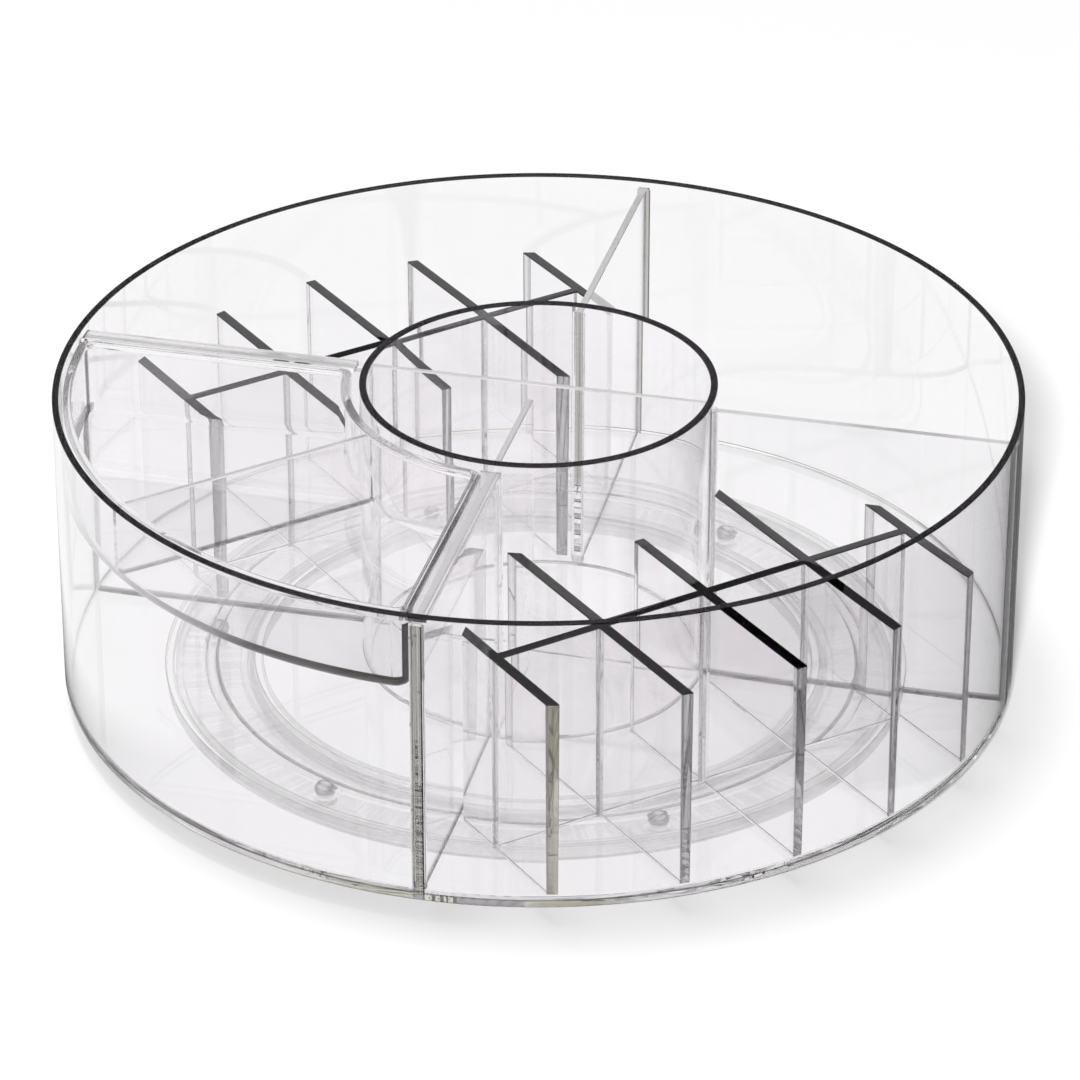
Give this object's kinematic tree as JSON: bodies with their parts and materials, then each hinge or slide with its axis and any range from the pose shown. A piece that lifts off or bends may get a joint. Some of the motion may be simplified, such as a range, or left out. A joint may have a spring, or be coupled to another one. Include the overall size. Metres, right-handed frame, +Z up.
{
  "type": "rotating makeup organizer",
  "caption": "Clear round turntable organizer: a drum with open sectors and a divided centre cup, a lift-out tray and lift-out racks, turning on a ball-bearing base ring",
  "frame": {"origin": "On the table under the spin axis, at the centre of the base ring's underside.", "axes": "+Z up along the spin axis, +X along the divider right of the cup, +Y along the divider behind it, away from the camera, with the tray in the -X -Y sector."},
  "size_m": [0.292, 0.292, 0.1006],
  "materials": {
    "clear_plastic": "clear polished styrene or acrylic",
    "base_plastic": "clear moulded plastic, slightly duller on the underside",
    "bearing_steel": "polished steel ball"
  },
  "bodies": {
    "base": {"base_ring": "base_plastic"},
    "drum": {"drum_floor": "clear_plastic", "outer_wall": "clear_plastic", "centre_cup": "clear_plastic", "right_divider": "clear_plastic", "back_divider": "clear_plastic", "left_divider": "clear_plastic", "front_divider": "clear_plastic", "long_cup_divider": "clear_plastic", "short_cup_divider": "clear_plastic", "guide_skirt": "clear_plastic", "hub_ring": "clear_plastic"},
    "lift_out_tray": {"tray": "clear_plastic", "tray_partition": "clear_plastic"},
    "front_rack": {"front_rack_spine": "clear_plastic", "front_rack_plate_1": "clear_plastic", "front_rack_plate_2": "clear_plastic", "front_rack_plate_3": "clear_plastic", "front_rack_plate_4": "clear_plastic", "front_rack_plate_5": "clear_plastic"},
    "back_rack": {"back_rack_spine": "clear_plastic", "back_rack_plate_1": "clear_plastic", "back_rack_plate_2": "clear_plastic", "back_rack_plate_3": "clear_plastic", "back_rack_plate_4": "clear_plastic", "back_rack_plate_5": "clear_plastic"},
    "bearing_ball_1": {"ball_1": "bearing_steel"},
    "bearing_ball_2": {"ball_2": "bearing_steel"},
    "bearing_ball_3": {"ball_3": "bearing_steel"},
    "bearing_ball_4": {"ball_4": "bearing_steel"},
    "bearing_ball_5": {"ball_5": "bearing_steel"},
    "bearing_ball_6": {"ball_6": "bearing_steel"}
  },
  "joints": [
    {"name": "drum_spin", "type": "hinge", "parent": "base", "child": "drum", "pos_m": [0, 0, 0.00655], "axis": [0, 0, 1], "continuous": true},
    {"name": "tray_lift", "type": "slide", "parent": "drum", "child": "lift_out_tray", "axis": [0, 0, 1], "range_m": [0, 0.06]},
    {"name": "front_rack_lift", "type": "slide", "parent": "drum", "child": "front_rack", "axis": [0, 0, 1], "range_m": [0, 0.11]},
    {"name": "back_rack_lift", "type": "slide", "parent": "drum", "child": "back_rack", "axis": [0, 0, 1], "range_m": [0, 0.11]},
    {"name": "ball_1_spin", "type": "hinge", "parent": "base", "child": "bearing_ball_1", "pos_m": [0.10062, 0.0088, 0.00417], "axis": [0.9962, 0.0872, 0], "continuous": true},
    {"name": "ball_2_spin", "type": "hinge", "parent": "base", "child": "bearing_ball_2", "pos_m": [0.04268, 0.09154, 0.00417], "axis": [0.4226, 0.9063, 0], "continuous": true},
    {"name": "ball_3_spin", "type": "hinge", "parent": "base", "child": "bearing_ball_3", "pos_m": [-0.05793, 0.08273, 0.00417], "axis": [-0.5736, 0.8192, 0], "continuous": true},
    {"name": "ball_4_spin", "type": "hinge", "parent": "base", "child": "bearing_ball_4", "pos_m": [-0.10062, -0.0088, 0.00417], "axis": [-0.9962, -0.0872, 0], "continuous": true},
    {"name": "ball_5_spin", "type": "hinge", "parent": "base", "child": "bearing_ball_5", "pos_m": [-0.04268, -0.09154, 0.00417], "axis": [-0.4226, -0.9063, 0], "continuous": true},
    {"name": "ball_6_spin", "type": "hinge", "parent": "base", "child": "bearing_ball_6", "pos_m": [0.05793, -0.08273, 0.00417], "axis": [0.5736, -0.8192, 0], "continuous": true}
  ],
  "couplings": [
    {"joint": "ball_1_spin", "follows": "drum_spin", "ratio": -31.811},
    {"joint": "ball_2_spin", "follows": "drum_spin", "ratio": -31.811},
    {"joint": "ball_3_spin", "follows": "drum_spin", "ratio": -31.811},
    {"joint": "ball_4_spin", "follows": "drum_spin", "ratio": -31.811},
    {"joint": "ball_5_spin", "follows": "drum_spin", "ratio": -31.811},
    {"joint": "ball_6_spin", "follows": "drum_spin", "ratio": -31.811}
  ]
}
